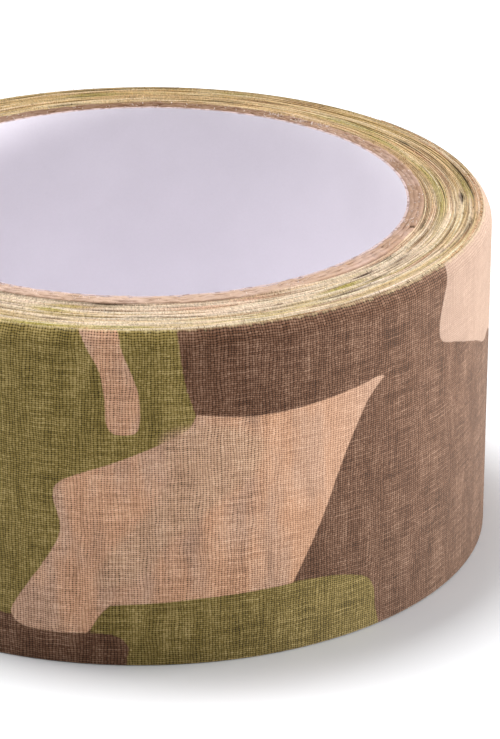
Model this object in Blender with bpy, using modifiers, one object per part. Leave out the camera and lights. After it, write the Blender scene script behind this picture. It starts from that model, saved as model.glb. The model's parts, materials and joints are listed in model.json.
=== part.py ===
"""A roll of woven cloth tape on a spirally wound cardboard core.

The roll lies on one of its flat faces. The origin is at the middle of its underside, and +Z is its axis.
Seen from above, the strip runs clockwise from its free end and goes one layer deeper with each turn.
A place along the strip is its wrap: the angle, in degrees, wound since the free end.
The last stretch of the strip before its free end peels off the roll. It is a chain of short segments,
hinged along vertical lines on its outer face, so that it can leave the roll and straighten as cloth does.
"""

import math

import bmesh
import bpy

MM = 0.001

# Cloth strip, wound on the core
TAPE_WIDTH = 50.0 * MM
TAPE_THICKNESS = 0.28 * MM
ROLL_RADIUS = 51.0 * MM
FREE_END_ANGLE = 42.0
STEPS_PER_TURN = 90

# The top edge of the winding leans in towards the axis, as the cloth is softer at its cut edge
EDGE_LEAN = 1.2 * MM
EDGE_HEIGHT = 2.4 * MM
EDGE_STEPS = 4

# Free end, which peels off the roll
FREE_END_SEGMENTS = 6
SEGMENT_WRAP = 6.0
SEGMENT_GAP = 0.3 * MM

# Cardboard core: a white liner, and three plies of grey board, each a strip wound to a tube.
# The core stands a little proud of the cloth at the top, and ends a little above its underside
BORE_RADIUS = 38.5 * MM
LINER_THICKNESS = 0.3 * MM
PLY_THICKNESS = 0.6 * MM
CORE_LENGTH = 49.7 * MM
CORE_RISE = 0.45 * MM
CORE_STEPS = 72

# Each ply's strip meets itself along one helical seam: the angle at the top face, and the turn over the width
PLY_SEAMS = {
    "core_ply_inner": (150.0, -95.0),
    "core_ply_middle": (55.0, 95.0),
    "core_ply_outer": (-19.0, -95.0),
}
SEAM_WIDTH = 0.4 * MM
SEAM_STEPS = 16

# The layers are thinner than a usual clearance, so the gaps between them are small too
LAYER_GAP = 0.1 * MM
TURN_GAP = 0.15 * MM

MERGE_DISTANCE = 0.001 * MM
SHARP_ANGLE = 40.0
CUTTER_MARGIN = 2.0 * MM

# Colour and roughness of each material
CLOTH_GREEN = ((0.17, 0.14, 0.045), 0.9)
CLOTH_BROWN = ((0.115, 0.075, 0.055), 0.9)
CLOTH_TAN = ((0.56, 0.35, 0.2), 0.9)
CLOTH_EDGE = ((0.58, 0.45, 0.27), 0.95)
WHITE_PAPER = ((0.76, 0.73, 0.78), 0.6)
GREY_BOARD = ((0.45, 0.31, 0.25), 0.9)

PEEL_WRAP = FREE_END_SEGMENTS * SEGMENT_WRAP


def clear_scene():
    """Removes every object, so that the script can be run again."""
    for found in list(bpy.data.objects):
        bpy.data.objects.remove(found, do_unlink=True)


def new_collection(name):
    """A new collection under the scene."""
    collection = bpy.data.collections.new(name)
    bpy.context.scene.collection.children.link(collection)
    return collection


def new_material(name, look):
    """A plain Principled material from a colour and a roughness."""
    colour, roughness = look
    material = bpy.data.materials.new(name)
    material.use_nodes = True
    shader = material.node_tree.nodes["Principled BSDF"]
    shader.inputs["Base Color"].default_value = (*colour, 1.0)
    shader.inputs["Roughness"].default_value = roughness
    shader.inputs["Metallic"].default_value = 0.0
    material.diffuse_color = (*colour, 1.0)
    return material


def solid_from(shape, collection, material):
    """Replaces a shape by one welded mesh object of the same name and place, with smooth round faces."""
    name = shape.name
    evaluated = shape.evaluated_get(bpy.context.evaluated_depsgraph_get())
    mesh = bpy.data.meshes.new_from_object(evaluated)
    welded = bmesh.new()
    welded.from_mesh(mesh)
    bmesh.ops.remove_doubles(welded, verts=welded.verts, dist=MERGE_DISTANCE)
    bmesh.ops.recalc_face_normals(welded, faces=welded.faces)
    welded.to_mesh(mesh)
    welded.free()
    mesh.shade_smooth()
    mesh.set_sharp_from_angle(angle=math.radians(SHARP_ANGLE))
    mesh.materials.clear()
    mesh.materials.append(material)

    location = shape.location.copy()
    bpy.data.objects.remove(shape, do_unlink=True)
    solid = bpy.data.objects.new(name, mesh)
    solid.name = name
    mesh.name = name
    solid.location = location
    collection.objects.link(solid)
    return solid


def turned(name, profile, steps, collection):
    """A closed profile of (radius, height) points, turned about +Z."""
    mesh = bpy.data.meshes.new(name)
    count = len(profile)
    points = [(radius, 0.0, height) for radius, height in profile]
    mesh.from_pydata(points, [(i, (i + 1) % count) for i in range(count)], [])
    piece = bpy.data.objects.new(name, mesh)
    collection.objects.link(piece)
    screw = piece.modifiers.new("Turn", "SCREW")
    screw.axis = "Z"
    screw.steps = steps
    screw.render_steps = steps
    screw.use_merge_vertices = True
    screw.merge_threshold = 0.0001
    return piece


def lean_profile():
    """(inward lean, height) up the side of a wound layer, from the underside to the top edge."""
    points = [(0.0, 0.0), (0.0, TAPE_WIDTH - EDGE_HEIGHT)]
    for step in range(1, EDGE_STEPS + 1):
        part = step / EDGE_STEPS
        points.append((EDGE_LEAN * part**2, TAPE_WIDTH - EDGE_HEIGHT * (1.0 - part)))
    return points


def strip_radius(wrap):
    """Radius of the strip's outer face, which is one thickness less after each turn."""
    return ROLL_RADIUS - TAPE_THICKNESS * wrap / 360.0


def strip_point(wrap, radius):
    """The point at a wrap along the strip and a distance from the roll's axis."""
    angle = math.radians(FREE_END_ANGLE - wrap)
    return (radius * math.cos(angle), radius * math.sin(angle))


def strip_section(collection):
    """The cross-section of the strip, upright, with its outer face on the path and +X towards the axis."""
    outer = [(lean, height) for lean, height in lean_profile()]
    inner = [(lean + TAPE_THICKNESS, height) for lean, height in reversed(lean_profile())]
    outline = bpy.data.curves.new("strip_section", "CURVE")
    outline.dimensions = "2D"
    spline = outline.splines.new("POLY")
    spline.points.add(len(outer + inner) - 1)
    for point, (across, height) in zip(spline.points, outer + inner):
        point.co = (across, height, 0.0, 1.0)
    spline.use_cyclic_u = True
    section = bpy.data.objects.new("strip_section", outline)
    section.hide_render = True
    section.display_type = "WIRE"
    collection.objects.link(section)
    return section


def strip_stretch(name, first_wrap, last_wrap, origin, section, collection):
    """A stretch of the strip: its section, swept along the spiral between two wraps."""
    steps = max(2, round((last_wrap - first_wrap) * STEPS_PER_TURN / 360.0))
    path = bpy.data.curves.new(name, "CURVE")
    path.dimensions = "3D"
    path.twist_mode = "Z_UP"
    path.bevel_mode = "OBJECT"
    path.bevel_object = section
    path.use_fill_caps = True
    spline = path.splines.new("POLY")
    spline.points.add(steps)
    for step, point in enumerate(spline.points):
        wrap = first_wrap + (last_wrap - first_wrap) * step / steps
        x, y = strip_point(wrap, strip_radius(wrap))
        point.co = (x - origin[0], y - origin[1], 0.0, 1.0)
    stretch = bpy.data.objects.new(name, path)
    stretch.location = (origin[0], origin[1], 0.0)
    collection.objects.link(stretch)
    return stretch


def gap_wrap():
    """Half the gap between two stretches of the strip, as a wrap."""
    return math.degrees(0.5 * SEGMENT_GAP / ROLL_RADIUS)


def build_inner_turns(parts, cloth):
    """The turns under the outer one, as one ring from the core outwards."""
    outer_radius = ROLL_RADIUS - 2.0 * TAPE_THICKNESS - TURN_GAP
    inner_radius = core_layers()[-1][2] + LAYER_GAP
    profile = [(outer_radius - lean, height) for lean, height in reversed(lean_profile())]
    profile += [(inner_radius, 0.0), (inner_radius, TAPE_WIDTH)]
    ring = turned("wound_turns", profile, STEPS_PER_TURN, parts)
    solid_from(ring, parts, cloth)


def build_outer_turn(parts, section, cloth):
    """The turn between the peel line and the place where the strip passes under its own free end."""
    outer_turn = strip_stretch(
        "outer_turn", PEEL_WRAP + gap_wrap(), 360.0 - gap_wrap(), (0.0, 0.0), section, parts
    )
    solid_from(outer_turn, parts, cloth)


def build_free_end(parts, section, cloths):
    """The hinged segments, each with its origin on the hinge at its peel-line side."""
    parent = None
    parent_place = (0.0, 0.0)
    for number in range(1, FREE_END_SEGMENTS + 1):
        hinge_wrap = PEEL_WRAP - (number - 1) * SEGMENT_WRAP
        end_wrap = hinge_wrap - SEGMENT_WRAP
        hinge = strip_point(hinge_wrap, strip_radius(hinge_wrap))
        name = f"free_end_{number}"
        stretch = strip_stretch(name, end_wrap + gap_wrap(), hinge_wrap - gap_wrap(), hinge, section, parts)
        segment = solid_from(stretch, parts, cloths[number % len(cloths)])
        segment.location = (hinge[0] - parent_place[0], hinge[1] - parent_place[1], 0.0)
        segment.parent = parent
        parent = segment
        parent_place = hinge


def core_layers():
    """(name, inner radius, outer radius) of the core's layers, from the bore outwards."""
    layers = []
    inner_radius = BORE_RADIUS
    for name in ("core_liner", *PLY_SEAMS):
        thickness = LINER_THICKNESS if name == "core_liner" else PLY_THICKNESS
        layers.append((name, inner_radius, inner_radius + thickness))
        inner_radius += thickness + LAYER_GAP
    return layers


def seam_blade(name, inner_radius, outer_radius, top_angle, turn, collection):
    """A thin helical blade that cuts a ply from its underside to its top face."""
    rise = TAPE_WIDTH + 2.0 * CUTTER_MARGIN
    full_turn = math.radians(turn) * rise / TAPE_WIDTH
    start = math.radians(top_angle) - full_turn * (TAPE_WIDTH + CUTTER_MARGIN) / rise
    mesh = bpy.data.meshes.new(name)
    near = inner_radius - CUTTER_MARGIN
    far = outer_radius + CUTTER_MARGIN
    mesh.from_pydata([(near, 0.0, 0.0), (far, 0.0, 0.0)], [(0, 1)], [])
    blade = bpy.data.objects.new(name, mesh)
    blade.location = (0.0, 0.0, -CUTTER_MARGIN)
    blade.rotation_euler = (0.0, 0.0, start)
    blade.hide_render = True
    blade.display_type = "WIRE"
    collection.objects.link(blade)
    screw = blade.modifiers.new("Helix", "SCREW")
    screw.axis = "Z"
    screw.angle = full_turn
    screw.screw_offset = rise
    screw.steps = SEAM_STEPS
    screw.render_steps = SEAM_STEPS
    thicken = blade.modifiers.new("Thickness", "SOLIDIFY")
    thicken.thickness = SEAM_WIDTH
    thicken.offset = 0.0
    return blade


def build_core(parts, cutters, paper, board):
    """The liner and the plies, proud of the cloth at the top, each ply cut by its seam."""
    high = TAPE_WIDTH + CORE_RISE
    low = high - CORE_LENGTH
    for name, inner_radius, outer_radius in core_layers():
        profile = [(outer_radius, high), (outer_radius, low), (inner_radius, low), (inner_radius, high)]
        tube = turned(name, profile, CORE_STEPS, parts)
        material = paper
        if name in PLY_SEAMS:
            material = board
            top_angle, turn = PLY_SEAMS[name]
            cut = tube.modifiers.new("Seam", "BOOLEAN")
            cut.operation = "DIFFERENCE"
            cut.solver = "EXACT"
            cut.object = seam_blade(f"{name}_seam", inner_radius, outer_radius, top_angle, turn, cutters)
        solid_from(tube, parts, material)


def main():
    """Builds the roll at rest, with its free end lying flat on it."""
    clear_scene()
    parts = new_collection("cloth_tape_roll")
    guides = new_collection("guides_and_cutters")
    paper = new_material("white_paper", WHITE_PAPER)
    board = new_material("grey_board", GREY_BOARD)
    edge = new_material("cloth_edge", CLOTH_EDGE)
    green = new_material("cloth_green", CLOTH_GREEN)
    brown = new_material("cloth_brown", CLOTH_BROWN)
    tan = new_material("cloth_tan", CLOTH_TAN)

    section = strip_section(guides)
    build_core(parts, guides, paper, board)
    build_inner_turns(parts, edge)
    build_outer_turn(parts, section, green)
    build_free_end(parts, section, (brown, tan))


main()
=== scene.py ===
"""Looks of the cloth tape roll: every turn of the printed strip, its cut edges, the board core and its liner.

All places are in metres in the CAD frame, +Z up the roll's axis. The print's outlines are in millimetres:
(along the strip, height), where along is 0 at the front of the outer turn and grows to the right.
A wrap is the angle, in degrees, that the strip has turned since its free end, clockwise from above.
"""

import json
import math
from types import SimpleNamespace

import bpy
import numpy as np
from mathutils import Matrix, Vector


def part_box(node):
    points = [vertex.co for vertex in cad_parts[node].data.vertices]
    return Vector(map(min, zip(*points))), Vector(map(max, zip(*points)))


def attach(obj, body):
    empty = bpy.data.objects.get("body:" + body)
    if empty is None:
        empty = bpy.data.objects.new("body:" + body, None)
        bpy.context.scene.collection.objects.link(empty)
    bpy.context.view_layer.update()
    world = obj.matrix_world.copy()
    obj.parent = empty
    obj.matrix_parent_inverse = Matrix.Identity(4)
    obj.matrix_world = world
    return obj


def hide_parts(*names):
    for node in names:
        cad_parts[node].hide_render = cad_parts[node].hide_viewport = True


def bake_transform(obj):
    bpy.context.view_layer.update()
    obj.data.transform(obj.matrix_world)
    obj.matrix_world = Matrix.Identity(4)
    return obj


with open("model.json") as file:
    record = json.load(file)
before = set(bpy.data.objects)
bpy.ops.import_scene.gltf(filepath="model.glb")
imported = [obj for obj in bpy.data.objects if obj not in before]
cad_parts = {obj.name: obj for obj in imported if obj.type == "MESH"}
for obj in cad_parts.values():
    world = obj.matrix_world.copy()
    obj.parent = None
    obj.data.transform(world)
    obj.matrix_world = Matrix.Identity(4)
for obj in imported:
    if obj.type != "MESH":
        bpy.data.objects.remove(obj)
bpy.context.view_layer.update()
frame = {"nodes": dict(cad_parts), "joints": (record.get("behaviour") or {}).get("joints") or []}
SEED = 20

MM = 0.001

# What the CAD model gives
TAPE_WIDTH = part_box("outer_turn")[1].z
BOARD_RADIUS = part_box("core_ply_outer")[1].x
BOARD_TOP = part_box("core_ply_outer")[1].z
PEEL_HINGES = frame["joints"]

# The strip's spiral. The outer turn is a whole turn from the peel line, and goes on a little under itself
FREE_END_ANGLE = 42.0
SEGMENT_WRAP = 6.0
PEEL_WRAP = SEGMENT_WRAP * len(PEEL_HINGES)
TUCKED_WRAP = 12.0
OUTER_WRAP_END = PEEL_WRAP + 360.0 + TUCKED_WRAP
PITCH = 0.28 * MM
ROLL_RADIUS = Vector(PEEL_HINGES[0]["pos_m"]).xy.length + PITCH * PEEL_WRAP / 360.0
CORE_GAP = 0.1 * MM
TURNS = (ROLL_RADIUS - BOARD_RADIUS - CORE_GAP) / PITCH
LAST_WRAP = 360.0 * TURNS
CLOTH_THICKNESS = 0.25 * MM
FRONT_WRAP = FREE_END_ANGLE + 90.0

# The winding's top edge leans in towards the axis
EDGE_LEAN = 1.2 * MM
EDGE_HEIGHT = 2.4 * MM

# The weave: threads along the strip, and threads across it
ALONG_PITCH = 0.317 * MM
ACROSS_PITCH = 0.43 * MM


def srgb(red, green, blue):
    """A linear colour from display values of 0 to 255."""
    values = [c / 255.0 for c in (red, green, blue)]
    return tuple(c / 12.92 if c <= 0.04045 else ((c + 0.055) / 1.055) ** 2.4 for c in values)


PRINT_BROWN = srgb(97, 63, 43)
PRINT_GREEN = srgb(123, 105, 50)
PRINT_TAN = srgb(196, 147, 114)
PRINT_PALE_TAN = srgb(170, 141, 123)
PRINT_GREYED_TAN = srgb(184, 146, 117)
BARE_CLOTH = srgb(202, 184, 140)
WORN_THREAD = srgb(236, 222, 200)
EDGE_CREAM = srgb(198, 177, 130)
EDGE_PALE_ROSE = srgb(224, 205, 184)
EDGE_OCHRE = srgb(200, 168, 112)
EDGE_GREEN = srgb(163, 151, 68)
EDGE_ROSE = srgb(200, 150, 126)
EDGE_DARK = srgb(122, 94, 62)
EDGE_LIGHT = srgb(232, 220, 198)
EDGE_NICK_AND_SHADOW = srgb(60, 42, 26)
EDGE_BROWN_AND_SHADE = srgb(146, 106, 70)
GUM = srgb(214, 196, 150)
LINER_WHITE = srgb(241, 235, 243)
LINER_RIM = srgb(198, 176, 174)
BOARD_BROWN = srgb(180, 147, 124)
BOARD_LILAC = srgb(194, 166, 154)
BOARD_LIT_FRONT = srgb(204, 176, 156)
BOARD_DARK = srgb(104, 74, 58)
BOARD_SHADED_BACK = srgb(114, 82, 58)
SHRED_WHITE = srgb(246, 238, 236)
SHRED_BROWN = srgb(214, 190, 172)
FLOOR_WHITE = (0.885, 0.9, 0.925)
FLOOR_WHITER = (0.895, 0.91, 0.935)


# ---- the print


OUTLINE_STEPS = 6


def smooth_outline(points):
    """A closed smooth line through the points. A point with a third value is a sharp corner."""
    count = len(points)
    place = np.array([p[:2] for p in points], float)
    line = []
    for i in range(count):
        before, here, after, beyond = (place[(i + k) % count] for k in (-1, 0, 1, 2))
        leave = after - here if len(points[i]) > 2 else 0.5 * (after - before)
        arrive = after - here if len(points[(i + 1) % count]) > 2 else 0.5 * (beyond - here)
        for t in np.arange(OUTLINE_STEPS) / OUTLINE_STEPS:
            line.append(
                (2 * t**3 - 3 * t**2 + 1) * here
                + (t**3 - 2 * t**2 + t) * leave
                + (3 * t**2 - 2 * t**3) * after
                + (t**3 - t**2) * arrive
            )
    return np.array(line)


def signed_distance(points, outline):
    """Distance of each point to a closed outline, negative inside it."""
    side = np.roll(outline, -1, axis=0) - outline
    nearest = np.full(len(points), np.inf)
    inside = np.zeros(len(points), bool)
    for (x, y), (dx, dy) in zip(outline, side):
        px = points[:, 0] - x
        py = points[:, 1] - y
        t = np.clip((px * dx + py * dy) / (dx * dx + dy * dy + 1e-12), 0.0, 1.0)
        nearest = np.minimum(nearest, np.hypot(px - t * dx, py - t * dy))
        crosses = (py < 0) != (py - dy < 0)
        inside ^= crosses & (px < dx * py / (dy if abs(dy) > 1e-9 else 1e-9))
    return np.where(inside, -nearest, nearest)


# Beyond this many mm, it doesn't matter how far away an outline is
FAR = 4.0


def print_distance(points, outlines):
    """Distance to the nearest of the outlines in mm, negative inside, at most FAR."""
    found = np.full(len(points), FAR)
    for outline in outlines:
        low = outline.min(0) - FAR
        high = outline.max(0) + FAR
        near = np.flatnonzero(((points > low) & (points < high)).all(1))
        if len(near):
            found[near] = np.minimum(found[near], signed_distance(points[near], outline))
    return np.maximum(found, -FAR)


# Patches that show at the front
GREEN_PATCHES = [
    [
        (-30, 52), (4.2, 52, "corner"), (4.7, 47.6), (5.4, 42.7), (6.9, 37.6, "corner"), (3, 30), (-6, 18),
        (-13, 9), (-18.7, 6.6), (-24, 7.2), (-31, 9), (-38, 18), (-37, 36),
    ],
    [
        (-8.3, 4.8, "corner"), (-6.5, 7.8), (-5.1, 9.3, "corner"), (2.7, 10.0), (14.5, 10.6), (25.2, 10.4),
        (31.2, 9.1), (34.1, 7.3), (34.9, 3.5), (34, -3), (15, -4), (-2, -3), (-2.8, 0.6), (-2.6, 3.0),
        (-4.7, 4.7),
    ],
]
TAN_PATCHES = [
    [
        (-9.7, 52), (-8.0, 48.1), (-6.2, 44.5), (-5.5, 40.5), (-5.3, 36.7), (-4.2, 35.3), (-1.4, 35.4),
        (-0.7, 38), (-1.1, 42), (-2.8, 46.5), (-4.8, 52),
    ],
    [
        (7.0, 37.9, "corner"), (14.4, 36.9), (22.2, 37.1), (29.8, 37.9), (37.0, 39.0, "corner"), (33.3, 36.0),
        (30.7, 31.6), (28.5, 27.1), (25.1, 18.8), (20.9, 10.5, "corner"), (8.3, 10.1), (-5.1, 9.3, "corner"),
        (-6.5, 7.8), (-8.3, 4.8, "corner"), (-13.2, 4.6), (-17.6, 5.0), (-19.3, 6.6), (-18.6, 8.8),
        (-13.6, 16.6), (-11.9, 20.8), (-12.9, 25.6), (-11.4, 28.1), (-4.3, 31.0), (1.5, 33.5), (5.9, 35.9),
    ],
    [
        (51.8, 52, "corner"), (51.2, 50.0), (50.3, 48.6), (49.3, 46.1), (48.2, 42.1), (49.0, 39.4),
        (54.0, 37.5), (61.5, 34.7), (66.5, 32.7), (71, 32.8), (80, 28), (88, 25), (96, 29), (97, 38),
        (93, 52, "corner"),
    ],
]
# Where a dark turn below shows through the tan cloth, which is greyer there and has more open holes
SHOW_THROUGH = [
    [
        (2, 35), (9, 36.5), (16, 34), (16, 29), (10, 24), (4, 19), (-1, 13), (-7, 12), (-5, 18), (0, 24),
        (3, 29),
    ],
]

# Where the patches above are, in mm. Brush strokes fill the rest of one repeat of the print
HAND_DRAWN_FROM = -46.0
HAND_DRAWN_TO = 104.0
PRINT_REPEAT = 640.0
PRINT_START = -520.0

# Sizes of the brush strokes in mm, and their bends and slants in radians
STROKE_KNOTS = 5
STROKE_BEND = 0.28
STROKE_WIDTH_SHARES = (0.65, 1.25)
STROKE_END_SHARES = (0.7, 0.6)
STROKE_SLANTS = (0.15, 1.2)
STROKE_HEIGHTS = (-2.0, 52.0)
STROKE_SPACING_SHARES = (0.7, 1.3)
GREEN_STROKES = {"spacing": 11.0, "lengths": (26, 48), "widths": (10, 19)}
TAN_STROKES = {"spacing": 17.0, "lengths": (20, 40), "widths": (6, 12)}


def brush_stroke(rng, along, height, length, width, slant):
    """A patch of print shaped like one pull of a broad brush, with a wandering spine and blunt ends."""
    bend = np.cumsum(rng.normal(0.0, STROKE_BEND, STROKE_KNOTS))
    middle = STROKE_KNOTS // 2
    heading = slant + bend - bend[middle]
    step = length / (STROKE_KNOTS - 1)
    spine = np.cumsum(np.stack([np.cos(heading), np.sin(heading)], 1) * step, 0)
    spine += np.array([along, height]) - spine[middle]
    across = np.stack([-np.sin(heading), np.cos(heading)], 1)
    half = 0.5 * width * rng.uniform(*STROKE_WIDTH_SHARES, (2, STROKE_KNOTS, 1))
    half[:, 0] *= STROKE_END_SHARES[0]
    half[:, -1] *= STROKE_END_SHARES[1]
    left = spine + across * half[0]
    right = spine - across * half[1]
    return [tuple(p) for p in np.concatenate([left, right[::-1]])]


def scatter_patches(rng, spacing, lengths, widths):
    """Brush strokes along one repeat of the print, clear of the given patches at the front."""
    strokes = []
    along = PRINT_START
    while along < PRINT_START + PRINT_REPEAT:
        slant = rng.choice([-1.0, 1.0]) * rng.uniform(*STROKE_SLANTS)
        height = rng.uniform(*STROKE_HEIGHTS)
        stroke = brush_stroke(rng, along, height, rng.uniform(*lengths), rng.uniform(*widths), slant)
        line = smooth_outline(stroke)
        if line[:, 0].max() < HAND_DRAWN_FROM or line[:, 0].min() > HAND_DRAWN_TO:
            strokes.append(line)
        along += spacing * rng.uniform(*STROKE_SPACING_SHARES)
    return strokes


rng = np.random.default_rng(SEED)
GREEN_LINES = [smooth_outline(p) for p in GREEN_PATCHES] + scatter_patches(rng, **GREEN_STROKES)
TAN_LINES = [smooth_outline(p) for p in TAN_PATCHES] + scatter_patches(rng, **TAN_STROKES)
THROUGH_LINES = [smooth_outline(p) for p in SHOW_THROUGH]


# ---- the strip's shape


NOISE_START = -10.0


def knot_noise(rng, spacing):
    """A smooth random line along the strip: normal values every so many degrees, joined by cosine steps."""
    count = int((LAST_WRAP - NOISE_START) / spacing) + 3
    values = rng.normal(0.0, 1.0, count)

    def at(wrap):
        t = np.clip((np.asarray(wrap) - NOISE_START) / spacing, 0, count - 1.001)
        i = t.astype(int)
        f = 0.5 - 0.5 * np.cos(np.pi * (t - i))
        return values[i] * (1 - f) + values[i + 1] * f

    return at


TOP_WANDER = knot_noise(rng, 38.0)
TOP_RIPPLE = knot_noise(rng, 7.0)
BOTTOM_WANDER = knot_noise(rng, 45.0)
THICKNESS_WANDER = knot_noise(rng, 16.0)

# The top edge is level up to a wrap, grows uneven over the next ones, and rises over the last turns
LEVEL_UNTIL = 300.0
UNEVEN_OVER = 200.0
RAISED_TURNS = 5.0
CORE_TURNS_RISE = 0.32 * MM
BOTTOM_RISE = 0.12 * MM

# The cloth is thinner at its cut edges, and where a turn's top has come loose
EDGE_TAPER = 0.2 * MM
LOOSE_SHARE = 0.14

# Places where two turns have parted at the top: (angle, radius in mm, half length in degrees, opening in mm)
PARTED = [
    (-0.5, 46.6, 2.3, 0.6), (4.0, 44.2, 7.0, 0.16), (-12.0, 47.4, 8.0, 0.14), (-24.0, 43.0, 4.0, 0.22),
    (-33.0, 42.4, 5.0, 0.2), (-38.0, 44.6, 9.0, 0.16), (-47.0, 46.6, 7.0, 0.22), (-58.0, 47.3, 8.0, 0.2),
    (-103.0, 47.0, 7.0, 0.24), (-112.0, 45.4, 5.0, 0.16), (36.0, 43.8, 7.0, 0.26), (24.0, 46.6, 6.0, 0.22),
    (68.0, 44.6, 8.0, 0.16), (105.0, 42.9, 8.0, 0.16), (150.0, 45.8, 10.0, 0.2), (200.0, 44.0, 9.0, 0.2),
]
PARTED_REACH = 0.9 * MM
PARTED_DEPTH = 2.5 * MM


def strip_angle(wrap):
    """Angle about +Z, in radians, of a place along the strip."""
    return np.radians(FREE_END_ANGLE - np.asarray(wrap, float))


def strip_radius(wrap):
    """Radius of the strip's printed face, before the edge leans in."""
    return ROLL_RADIUS - PITCH * np.asarray(wrap, float) / 360.0


def strip_length(wrap):
    """Length of strip, in metres, from the free end to a wrap."""
    wrap = np.asarray(wrap, float)
    return np.radians(wrap) * (ROLL_RADIUS - 0.5 * PITCH * wrap / 360.0)


def degrees_from(degrees, place):
    """Angles measured from a place, between -180 and 180 degrees."""
    return (degrees - place + 180.0) % 360.0 - 180.0


def parted_shift(angle, radius, height):
    """How far a turn moves away from the gaps near it."""
    shift = np.zeros(np.broadcast(angle, radius, height).shape)
    near_top = np.clip(1.0 - (TAPE_WIDTH - height) / PARTED_DEPTH, 0.0, 1.0)
    for place, at_radius, half_length, opening in PARTED:
        off = degrees_from(np.degrees(angle), place)
        window = np.exp(-((off / half_length) ** 2))
        away = radius - at_radius * MM
        side = np.where(away >= 0.0, 1.0, -1.0)
        shift += 0.5 * opening * MM * side * np.exp(-np.abs(away) / PARTED_REACH) * window * near_top
    return shift


def edge_lean(radius, height):
    """How far the winding leans in at a height: less for the turns deeper in the roll."""
    rise = np.clip((height - (TAPE_WIDTH - EDGE_HEIGHT)) / EDGE_HEIGHT, 0.0, 1.2)
    depth = np.clip((radius - BOARD_RADIUS) / (ROLL_RADIUS - BOARD_RADIUS), 0.0, 1.0)
    return EDGE_LEAN * rise**2 * depth


def strip_heights(from_bottom, from_top, between):
    """Heights of the strip's levels: given ones in mm near its two cut edges, and even ones between them."""
    low = np.array(from_bottom) * MM
    high = TAPE_WIDTH - np.array(from_top) * MM
    middle = np.linspace(low[-1], high[0], between + 2)[1:-1]
    return np.concatenate([low, middle, high])


OUTER_HEIGHTS = strip_heights((0.0, 0.1, 0.5), (1.8, 1.2, 0.8, 0.45, 0.2, 0.08, 0.0), between=66)
INNER_HEIGHTS = strip_heights((0.0, 0.2), (2.4, 1.2, 0.6, 0.25, 0.07, 0.0), between=0)


def top_rise(wrap):
    """How far a turn's top edge stands above or below the roll's face."""
    wrap = np.asarray(wrap, float)
    settled = np.clip((wrap - LEVEL_UNTIL) / UNEVEN_OVER, 0.0, 1.0)
    wander = TOP_WANDER(wrap)
    # In mm: small rises as a rule, and now and then a turn that has sunk
    uneven = np.clip(0.1 * wander - 0.05 * np.abs(wander) ** 3 + 0.05 * TOP_RIPPLE(wrap), -0.6, 0.25)
    by_the_core = np.clip((wrap - LAST_WRAP) / (360.0 * RAISED_TURNS) + 1.0, 0.0, 1.0)
    return uneven * MM * settled + CORE_TURNS_RISE * by_the_core**2


def strip_points(wraps, heights):
    """Points of the printed and the gummed face on a grid of wraps and heights."""
    wrap = wraps[:, None]
    height = heights[None, :] + np.zeros_like(wrap)
    near_top = np.clip((height - 0.5 * TAPE_WIDTH) / (0.5 * TAPE_WIDTH), 0.0, 1.0) ** 4
    near_bottom = np.clip(1.0 - height / (0.5 * TAPE_WIDTH), 0.0, 1.0) ** 4
    height = height + near_top * top_rise(wrap) + near_bottom * np.abs(BOTTOM_WANDER(wrap)) * BOTTOM_RISE
    angle = strip_angle(wrap)
    radius = strip_radius(wrap)
    to_edge = np.minimum(heights, TAPE_WIDTH - heights)[None, :]
    full = np.clip(to_edge / EDGE_TAPER, 0.0, 1.0) ** 0.5
    loose = 1.0 - LOOSE_SHARE * near_top * (0.6 + 0.6 * THICKNESS_WANDER(wrap))
    thickness = CLOTH_THICKNESS * np.clip(loose, 0.55, 1.08) * (0.5 + 0.5 * full)
    middle = radius - 0.5 * CLOTH_THICKNESS - edge_lean(radius, height)
    middle = middle + parted_shift(angle, radius - edge_lean(radius, TAPE_WIDTH), height)
    faces = []
    for offset in (0.5, -0.5):
        r = middle + offset * thickness
        faces.append(np.stack([r * np.cos(angle), r * np.sin(angle), height], -1))
    return faces


def grid_faces(rows, columns, first, flip):
    """Quads of a grid of points numbered row by row from first."""
    i, j = np.meshgrid(np.arange(rows - 1), np.arange(columns - 1), indexing="ij")
    a = first + i * columns + j
    quads = np.stack([a, a + 1, a + columns + 1, a + columns], -1).reshape(-1, 4)
    return quads[:, ::-1] if flip else quads


def new_mesh(name, points, quads):
    """A smooth mesh object from arrays of points and quads."""
    mesh = bpy.data.meshes.new(name)
    mesh.vertices.add(len(points))
    mesh.vertices.foreach_set("co", np.asarray(points, np.float32).ravel())
    mesh.loops.add(len(quads) * 4)
    mesh.loops.foreach_set("vertex_index", np.asarray(quads, np.int32).ravel())
    mesh.polygons.add(len(quads))
    mesh.polygons.foreach_set("loop_start", np.arange(len(quads), dtype=np.int32) * 4)
    mesh.update(calc_edges=True)
    mesh.validate()
    mesh.shade_smooth()
    made = bpy.data.objects.new(name, mesh)
    bpy.context.scene.collection.objects.link(made)
    return made


def set_attribute(piece, name, values):
    """A number for each vertex, for the material to read."""
    attribute = piece.data.attributes.new(name, "FLOAT", "POINT")
    attribute.data.foreach_set("value", np.asarray(values, np.float32).ravel())


CLOTH_ATTRIBUTES = ("cloth_along", "cloth_height", "cloth_gummed", "cloth_turn")


def print_attributes(piece, along, height, gummed, turn):
    """What the materials of the cloth and of its cut threads read at each vertex."""
    repeat = (along / MM - PRINT_START) % PRINT_REPEAT + PRINT_START
    where = np.stack([repeat, height / MM], -1)
    for name, values in zip(CLOTH_ATTRIBUTES, (along, height, gummed, turn)):
        set_attribute(piece, name, values)
    set_attribute(piece, "print_green", print_distance(where, GREEN_LINES))
    set_attribute(piece, "print_tan", print_distance(where, TAN_LINES))
    front = np.stack([along / MM, height / MM], -1)
    set_attribute(piece, "print_through", print_distance(front, THROUGH_LINES))


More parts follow.
